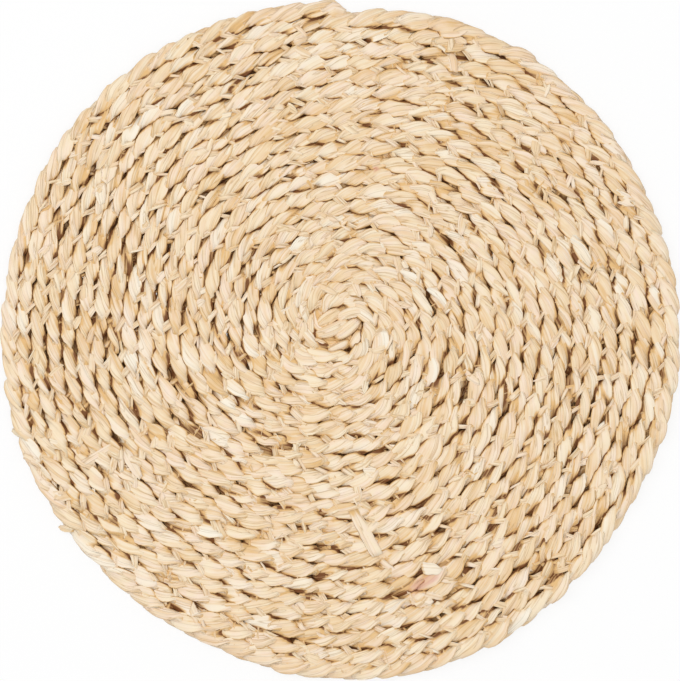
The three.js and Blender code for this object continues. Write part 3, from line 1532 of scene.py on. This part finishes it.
@dataclass
class CrossingHusk:
    """Narrow husks that cross the gap beside a row, where a strand comes up to its next lobe.

    Attributes:
        plait: The plait that they belong to.
        first_beat: Where in the plait they begin.
        bunch: The most at one crossing.
        share: How many of those the mean crossing has.
        phase: Where they lie in a strand's beat.
        inside: How far inside the row's middle they lie.
        heading: Their direction, outwards from the row's clockwise direction.
        length: Their mean length.
        width: Their mean width.
        foot: Height of their ends.
        arch: How much higher their middle lies.
        thickness: How thick they are.
        length_range: Shares of the mean length between which they vary.
        width_range: Shares of the mean width between which they vary.
        narrowing: The most that one narrows away from its widest place, as a share.
        place_spread: How much they vary in place and in height.
        heading_spread: How much they vary in direction.
        bend_spread: How far they bend aside.
        tilt_spread: How much they tilt, as a slope.
        tone_spread: How much they vary in shade and in tint.
        steps: Rings of the mesh along each.
        seed: Start of the draws.
    """

    plait: Plait
    first_beat: int = 5
    bunch: int = 3
    share: float = 0.45
    phase: float = np.radians(14)
    inside: float = 3.7 * MM
    heading: float = np.radians(-29)
    length: float = 12 * MM
    width: float = 3 * MM
    foot: float = 7.6 * MM
    arch: float = 2.5 * MM
    thickness: float = 0.5 * MM
    length_range: tuple[float, float] = (0.7, 1.3)
    width_range: tuple[float, float] = (0.45, 1.2)
    narrowing: float = 0.7
    place_spread: float = 0.5 * MM
    heading_spread: float = np.radians(13)
    bend_spread: float = 2.5 * MM
    tilt_spread: float = 0.25
    tone_spread: float = 0.9
    steps: int = 5
    seed: int = 23

    def places(self, rng: np.random.Generator) -> Array:
        """Where they lie: up to a bunch where each strand comes up in each beat.

        Args:
            rng: The draws.

        Returns:
            The place of each, in beats.
        """
        whole = np.arange(self.first_beat, int(self.plait.rail.beats[-1])) + self.phase / FULL_TURN
        place = np.concatenate([whole - number / 3 for number in range(3)])
        crowd = np.tile(rng.uniform(0, 2 * self.share, len(place)), self.bunch)
        place = np.tile(place, self.bunch)[rng.uniform(size=len(crowd)) < crowd]
        return place + rng.normal(0, 0.03, len(place))

    def tubes(self) -> tuple[list[TubeMesh], Array, Array]:
        """All of them, with their lengths and widths.

        Formula: with t from 0 to 1 along it, each is a strip that arches by arch sin(pi t) over
        the gap, with its ends under the lobes on both sides, and bends aside by a share of
        (t - 0.5)^2. It tapers away from its widest place, and tilts.

        Returns:
            The tubes, the lengths and the widths.
        """
        rng = np.random.default_rng(self.seed)
        place = self.places(rng)
        rail, count = self.plait.rail, len(place)

        def each(numbers: Array) -> Array:
            """One number for each husk, spread over its points."""
            return numbers[:, None, None]

        middle, along, outward = (
            np.stack([np.interp(place, rail.beats, line[:, i]) for i in (0, 1)], -1)
            for line in (rail.point, rail.along, rail.outward)
        )
        middle = middle - outward * (self.inside + rng.normal(0, self.place_spread, count))[:, None]
        heading = (self.heading + rng.normal(0, self.heading_spread, count))[:, None]
        direction = along * np.cos(heading) + outward * np.sin(heading)
        side = along * np.sin(heading) - outward * np.cos(heading)
        length = self.length * rng.uniform(*self.length_range, count)
        width = self.width * rng.uniform(*self.width_range, count)
        t = np.linspace(0, 1, self.steps)[:, None]
        share, upper = flat_section()
        bend = (t - 0.5) ** 2 * each(rng.normal(0, self.bend_spread, count))
        x = (t - 0.5) * each(length)
        narrowing = rng.uniform(0, self.narrowing, count)
        widest = rng.uniform(0.2, 0.8, count)
        taper = 1 - each(narrowing) * np.abs(t - each(widest))
        y = each(width) / 2 * taper * share + bend
        flat = middle[:, None, None] + direction[:, None, None] * x[..., None]
        flat = flat + side[:, None, None] * y[..., None]
        arch = self.arch - np.abs(rng.normal(0, self.place_spread, count))
        height = self.foot + each(arch) * np.sin(np.pi * t)
        height = height + self.thickness / 2 * upper + y * each(rng.normal(0, self.tilt_spread, count))
        shade, tint = rng.normal(0, self.tone_spread, (2, count))
        values = husk_values(
            grain=(y + each(place), 0.0, x),
            shade=each(shade),
            tint=each(tint),
            # painted shade towards its ends, which lie under the lobes
            depth=0.5 - 0.4 * np.sin(np.pi * t),
        )
        rings = at_heights(flat, height)
        tubes = [
            TubeMesh(rings[i], {name: numbers[i] for name, numbers in values.items()})
            for i in range(count)
        ]
        return tubes, length, width

    def build(self, material: bpy.types.Material) -> bpy.types.Object:
        """Builds them all as one piece.

        Args:
            material: The husk.

        Returns:
            The piece.
        """
        tubes, lengths, widths = self.tubes()
        piece = make_piece("crossing_husk", tubes, material, MapGrid(self.steps - 1, columns=20))
        return piece


# ---------------------------------------------------------------- finishes


def add_node(tree: bpy.types.NodeTree, kind: str, **settings: object) -> bpy.types.Node:
    """Adds a node and sets what is named: its own settings, or an input's value.

    Args:
        tree: Where the node goes.
        kind: The node's type, without the word ShaderNode.
        **settings: Settings by name, and input values by socket name with _ for a space.

    Returns:
        The node.
    """
    node = tree.nodes.new("ShaderNode" + kind)
    for name, value in settings.items():
        if hasattr(node, name):
            setattr(node, name, value)
        else:
            node.inputs[name.replace("_", " ")].default_value = value
    return node


class NodeGroup:
    """A shader node group under construction, with named inputs and outputs."""

    def __init__(self, name: str, inputs: dict[str, object], outputs: dict[str, str]) -> None:
        """Makes the group and its sockets.

        Args:
            name: The group's name.
            inputs: Default value of each input: a number, or a vector or colour as a tuple.
            outputs: Kind of each output: Float, Vector or Color.
        """
        self.tree = bpy.data.node_groups.new(name, "ShaderNodeTree")
        new_socket = self.tree.interface.new_socket
        kinds = {3: "Vector", 4: "Color"}
        for socket, value in inputs.items():
            kind = kinds[len(value)] if isinstance(value, tuple) else "Float"
            made = new_socket(socket, in_out="INPUT", socket_type="NodeSocket" + kind)
            made.default_value = value
        for socket, kind in outputs.items():
            new_socket(socket, in_out="OUTPUT", socket_type="NodeSocket" + kind)
        self.start = self.tree.nodes.new("NodeGroupInput").outputs
        self.end = self.tree.nodes.new("NodeGroupOutput").inputs

    def node(self, kind: str, **settings: object) -> bpy.types.Node:
        """Adds a node to the group."""
        return add_node(self.tree, kind, **settings)

    def feed(self, term: object, slot: bpy.types.NodeSocket) -> None:
        """Feeds an input.

        Args:
            term: A socket to join to it, or its plain value.
            slot: The input.
        """
        if isinstance(term, bpy.types.NodeSocket):
            self.tree.links.new(term, slot)
        else:
            slot.default_value = term

    def maths(self, operation: str, *terms: object, clamp: bool = False) -> bpy.types.NodeSocket:
        """Adds a Math node.

        Args:
            operation: What it does.
            *terms: What it does it to: sockets and numbers.
            clamp: Whether the result is held between 0 and 1.

        Returns:
            The result.
        """
        node = self.node("Math", operation=operation, use_clamp=clamp)
        for slot, term in zip(node.inputs, terms):
            self.feed(term, slot)
        return node.outputs[0]

    def scaled(self, vector: object, by: object) -> bpy.types.NodeSocket:
        """Multiplies two vectors part by part.

        Args:
            vector: A socket or a plain vector.
            by: The other.

        Returns:
            The product.
        """
        node = self.node("VectorMath", operation="MULTIPLY")
        self.feed(vector, node.inputs[0])
        self.feed(by, node.inputs[1])
        return node.outputs[0]

    def ranged(
        self,
        value: bpy.types.NodeSocket,
        bounds: tuple[float, float],
        ends: tuple[float, float] = (0.0, 1.0),
        smooth: bool = False,
    ) -> bpy.types.NodeSocket:
        """A value moved from its bounds to others, and held there beyond them.

        Args:
            value: The value.
            bounds: Where it starts and stops.
            ends: What it is moved to.
            smooth: Whether it starts and stops gently.

        Returns:
            The moved value.
        """
        node = self.node("MapRange", From_Min=bounds[0], From_Max=bounds[1])
        node.interpolation_type = "SMOOTHSTEP" if smooth else "LINEAR"
        node.inputs["To Min"].default_value, node.inputs["To Max"].default_value = ends
        self.feed(value, node.inputs["Value"])
        return node.outputs[0]

    def mix(self, factor: object, first: object, second: object) -> bpy.types.NodeSocket:
        """Mixes two colours.

        Args:
            factor: Share of the second one.
            first: A socket or a plain colour.
            second: The other.

        Returns:
            The mixed colour.
        """
        node = self.node("Mix", data_type="RGBA")
        for slot, term in ((0, factor), (6, first), (7, second)):
            self.feed(term, node.inputs[slot])
        return node.outputs[2]


def fibre_group() -> bpy.types.NodeTree:
    """Fibres and pleats along a husk: streaks many times as long as they are wide.

    Grain holds the place across the husk, through it and along it. The noise is read with the
    last one squeezed, so its spots are drawn out along the husk. A crease runs where the pleats'
    noise passes its middle value.

    Returns:
        The group.
    """
    group = NodeGroup(
        "husk_fibres",
        {"Grain": (0.0, 0.0, 0.0), "Pleats Per Metre": 380.0, "Fibres Per Metre": 1000.0},
        {
            "Pleats": "Float",
            "Fibres": "Float",
            "Creases": "Float",
            "Mottle": "Color",
            "Height": "Float",
        },
    )
    grain = group.start["Grain"]
    streaks = []
    for spacing, lengthwise in (("Pleats Per Metre", 0.045), ("Fibres Per Metre", 0.03)):
        scale = group.node("VectorMath", operation="SCALE")
        scale.inputs[0].default_value = (1.0, 1.0, lengthwise)
        group.feed(group.start[spacing], scale.inputs["Scale"])
        noise = group.node("TexNoise", Scale=1.0, Detail=1.0, Roughness=0.5)
        group.feed(group.scaled(grain, scale.outputs[0]), noise.inputs["Vector"])
        streaks.append(group.ranged(noise.outputs["Fac"], (0.33, 0.67)))
    mottle = group.node("TexNoise", Scale=1.0, Detail=1.5)
    group.feed(group.scaled(grain, (300.0, 300.0, 170.0)), mottle.inputs["Vector"])
    pleats, fibres = streaks
    off_middle = group.maths("ABSOLUTE", group.maths("SUBTRACT", pleats, 0.5))
    creases = group.ranged(off_middle, (0.0, 0.06), ends=(1.0, 0.0))
    height = group.maths("MULTIPLY_ADD", fibres, 0.35, pleats)
    height = group.maths("MULTIPLY_ADD", creases, -0.5, height)
    found = {
        "Pleats": pleats,
        "Fibres": fibres,
        "Creases": creases,
        "Mottle": mottle.outputs["Color"],
        "Height": height,
    }
    for name, socket in found.items():
        group.feed(socket, group.end[name])
    return group.tree


def tone_group() -> bpy.types.NodeTree:
    """A husk's colour: pale on the crests, with golden and brown painted shade on flanks and in gaps.

    The fibres and the shade make it paler, the depth, which is painted shade, makes it golden
    and then brown, the tint and the mottle make it pinker, and the palest husks turn white.

    Returns:
        The group.
    """
    group = NodeGroup(
        "husk_tone",
        {
            "Shade": 0.0,
            "Tint": 0.0,
            "Depth": 0.0,
            "Pleats": 0.5,
            "Fibres": 0.5,
            "Creases": 0.0,
            "Mottle": (0.5, 0.5, 0.5, 1.0),
            "Rosy": 0.0,
            **dict.fromkeys(HUSK_COLOURS, (1.0, 1.0, 1.0, 1.0)),
        },
        {"Color": "Color"},
    )
    inside, maths, mix = group.start, group.maths, group.mix
    mottle = group.node("SeparateColor")
    group.feed(inside["Mottle"], mottle.inputs[0])
    pinker = maths("MULTIPLY_ADD", maths("SUBTRACT", mottle.outputs[0], 0.5), 2.5, 0.35)
    duller = maths("MULTIPLY", maths("SUBTRACT", mottle.outputs[1], 0.5), 0.7)
    streaks = maths("MULTIPLY", inside["Fibres"], 0.6)
    streaks = maths("MULTIPLY_ADD", inside["Pleats"], 0.35, streaks)
    paler = maths("MULTIPLY_ADD", inside["Shade"], 0.18, maths("SUBTRACT", streaks, 0.48))
    paler = maths("ADD", paler, duller)
    # painted shade: golden from a little depth, brown from more
    low = group.ranged(inside["Depth"], (0.15, 0.45), smooth=True)
    deep = group.ranged(inside["Depth"], (0.38, 0.6), smooth=True)
    # gold: darker streaks and husks, with painted shade from the depth and in the creases
    gold = maths("MULTIPLY_ADD", paler, -0.8, maths("ADD", low, 0.25))
    gold = maths("MULTIPLY_ADD", inside["Creases"], 0.2, gold, clamp=True)
    pinker = maths("MULTIPLY_ADD", inside["Tint"], 0.25, pinker, clamp=True)
    bleached = maths("MULTIPLY_ADD", inside["Shade"], 0.45, -0.5, clamp=True)
    rosy = maths("MULTIPLY_ADD", streaks, 0.9, 0.15)
    rosy = maths("MULTIPLY", inside["Rosy"], rosy, clamp=True)
    light_fibres = group.ranged(inside["Fibres"], (0.55, 0.8), ends=(1.0, 0.5))
    colour = mix(pinker, inside["Pale"], inside["Pink"])
    colour = mix(bleached, colour, inside["White"])
    colour = mix(gold, colour, inside["Golden"])
    # painted shade in the creases
    colour = mix(maths("MULTIPLY", inside["Creases"], 0.5), colour, inside["Crease"])
    colour = mix(rosy, colour, inside["Red"])
    # painted shade deep in the gaps, lighter on the paler fibres
    colour = mix(maths("MULTIPLY", deep, light_fibres), colour, inside["Brown"])
    group.feed(colour, group.end["Color"])
    return group.tree


def shared(name: str, maker: Callable[[], bpy.types.NodeTree]) -> bpy.types.NodeTree:
    """The node group of this name, made on first use."""
    return bpy.data.node_groups.get(name) or maker()


@dataclass(frozen=True)
class HuskFinish:
    """Dried husk: cream to straw, with fine fibres along its length.

    Attributes:
        pale: The husk's own colour, seen on the crests, where no shade is painted.
        golden: Colour of darker streaks and husks, and of the painted shade on a flank.
        pink: Colour of the pinker husks' crests.
        crease: Colour of the painted shade in the fine creases between pleats.
        brown: Colour of the painted shade deep between the rows.
        red: Colour of the rosy stains.
        white: Colour of the most bleached husks.
        roughness: How matt it is.
        specular: How much it mirrors.
        relief: Height of the pleats.
    """

    pale: tuple[float, float, float, float] = (0.88, 0.74, 0.535, 1)
    golden: tuple[float, float, float, float] = (0.75, 0.48, 0.21, 1)
    pink: tuple[float, float, float, float] = (0.88, 0.71, 0.565, 1)
    crease: tuple[float, float, float, float] = (0.45, 0.28, 0.12, 1)
    brown: tuple[float, float, float, float] = (0.19, 0.07, 0.02, 1)
    red: tuple[float, float, float, float] = (0.62, 0.27, 0.19, 1)
    white: tuple[float, float, float, float] = (0.90, 0.82, 0.68, 1)
    roughness: float = 0.6
    specular: float = 0.3
    relief: float = 0.18 * MM

    def material(self, name: str) -> bpy.types.Material:
        """Makes the finish a material.

        Args:
            name: The material's name.

        Returns:
            The material.
        """
        material = bpy.data.materials.new(name)
        material.use_nodes = True
        tree = material.node_tree
        link = tree.links.new
        shader = tree.nodes["Principled BSDF"]
        shader.inputs["Roughness"].default_value = self.roughness
        shader.inputs["Specular IOR Level"].default_value = self.specular
        grain = add_node(tree, "Attribute", attribute_name="grain")
        fibres = add_node(tree, "Group", node_tree=shared("husk_fibres", fibre_group))
        link(grain.outputs["Vector"], fibres.inputs["Grain"])
        tone = add_node(tree, "Group", node_tree=shared("husk_tone", tone_group))
        for socket in HUSK_COLOURS:
            tone.inputs[socket].default_value = getattr(self, socket.lower())
        for socket in ("Shade", "Tint", "Rosy", "Depth"):
            value = add_node(tree, "Attribute", attribute_name=socket.lower())
            link(value.outputs["Fac"], tone.inputs[socket])
        for socket in ("Pleats", "Fibres", "Creases", "Mottle"):
            link(fibres.outputs[socket], tone.inputs[socket])
        link(tone.outputs["Color"], shader.inputs["Base Color"])
        bump = add_node(tree, "Bump", Strength=1.0, Distance=self.relief)
        link(fibres.outputs["Height"], bump.inputs["Height"])
        link(bump.outputs[0], shader.inputs["Normal"])
        return material


# ---------------------------------------------------------------- studio


@dataclass
class Studio:
    """A white floor, soft light from above and the camera straight over the mat.

    Attributes:
        floor_size: Side of the floor.
        floor_grey: How light the floor is where light falls on it.
        floor_white: Share of plain white in the floor as the camera, mirrors and glass see it.
        sky: Strength of the even white light from all sides.
        lamp_place: Where the lamp hangs: a little towards the far left.
        lamp_size: Its size across, and from near to far.
        lamp_energy: Its strength, in watts.
        view_width: What the camera sees across, at the mat's top.
        camera_height: Height of the camera.
        sensor: Width of the camera's sensor, in millimetres as Blender has it.
    """

    floor_size: float = 6.0
    floor_grey: float = 0.9
    floor_white: float = 0.8
    sky: float = 0.62
    lamp_place: tuple[float, float, float] = (-0.35, 0.2, 2.2)
    lamp_size: tuple[float, float] = (0.9, 3.6)
    lamp_energy: float = 33.0
    view_width: float = 381.1 * MM
    camera_height: float = 1.6
    sensor: float = 36.0

    def build(self) -> None:
        """Makes the floor, the world, the lamp and the camera."""
        self.floor()
        self.world()
        self.lamp()
        self.camera()

    def floor(self) -> None:
        """A plane at the mat's underside."""
        side = self.floor_size / 2
        corners = [(-side, -side, 0), (side, -side, 0), (side, side, 0), (-side, side, 0)]
        mesh = bpy.data.meshes.new("floor")
        mesh.from_pydata(corners, [], [(0, 1, 2, 3)])
        mesh.materials.append(self.floor_material())
        floor = bpy.data.objects.new("floor", mesh)
        bpy.context.scene.collection.objects.link(floor)

    def floor_material(self) -> bpy.types.Material:
        """A matt pale floor, mixed with a white glow where it is only looked at.

        Returns:
            The material.
        """
        material = bpy.data.materials.new("floor")
        material.use_nodes = True
        tree = material.node_tree
        link = tree.links.new
        shader = tree.nodes["Principled BSDF"]
        shader.inputs["Base Color"].default_value = (*[self.floor_grey] * 3, 1)
        shader.inputs["Roughness"].default_value = 0.9
        glow = add_node(tree, "Emission", Strength=1.0)
        ray = add_node(tree, "LightPath")
        mirrored = add_node(tree, "Math", operation="MAXIMUM")
        seen = add_node(tree, "Math", operation="MAXIMUM")
        share = add_node(tree, "Math", operation="MULTIPLY")
        share.inputs[1].default_value = self.floor_white
        mix = add_node(tree, "MixShader")
        link(ray.outputs["Is Glossy Ray"], mirrored.inputs[0])
        link(ray.outputs["Is Transmission Ray"], mirrored.inputs[1])
        link(ray.outputs["Is Camera Ray"], seen.inputs[0])
        link(mirrored.outputs[0], seen.inputs[1])
        link(seen.outputs[0], share.inputs[0])
        link(share.outputs[0], mix.inputs[0])
        link(shader.outputs[0], mix.inputs[1])
        link(glow.outputs[0], mix.inputs[2])
        link(mix.outputs[0], tree.nodes["Material Output"].inputs["Surface"])
        return material

    def world(self) -> None:
        """An even white world."""
        world = bpy.data.worlds.new("studio")
        bpy.context.scene.world = world
        world.use_nodes = True
        background = world.node_tree.nodes["Background"]
        background.inputs["Color"].default_value = (1, 1, 1, 1)
        background.inputs["Strength"].default_value = self.sky

    def lamp(self) -> None:
        """One large soft lamp, long from near to far, which points at the mat's middle."""
        light = bpy.data.lights.new("key", "AREA")
        light.shape = "RECTANGLE"
        light.size, light.size_y = self.lamp_size
        light.energy = self.lamp_energy
        lamp = bpy.data.objects.new("key", light)
        bpy.context.scene.collection.objects.link(lamp)
        x, y, z = self.lamp_place
        lamp.location = self.lamp_place
        lamp.rotation_euler = (np.arctan2(np.hypot(x, y), z), 0, np.arctan2(x, -y))

    def camera(self) -> None:
        """A long lens straight above the mat, with +Y up in the picture."""
        data = bpy.data.cameras.new("camera")
        data.sensor_width = self.sensor
        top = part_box(CAD_NODE)[1][2]
        data.lens = self.sensor * (self.camera_height - top) / self.view_width
        camera = bpy.data.objects.new("camera", data)
        camera.location = (0, 0, self.camera_height)
        bpy.context.scene.collection.objects.link(camera)
        bpy.context.scene.camera = camera


def main() -> None:
    """Builds the studio and the mat, and reports each piece."""
    bpy.context.scene.view_settings.view_transform = "Standard"
    Studio().build()
    husk = HuskFinish().material("plaited_husk")
    plait = Plait(CoilPath(), STAINS)
    top = TopSurface()
    pieces = [
        *plait.build(husk, top),
        StartHusks(plait, START_HUSKS).build(husk),
        CrossingHusk(plait).build(husk),
        LooseHusk(plait, top, PLACED_SLIPS).build(husk),
    ]
    for piece in pieces:
        log.info("%s: %d faces", piece.name, len(piece.data.polygons))


if __name__ == "__main__":
    main()
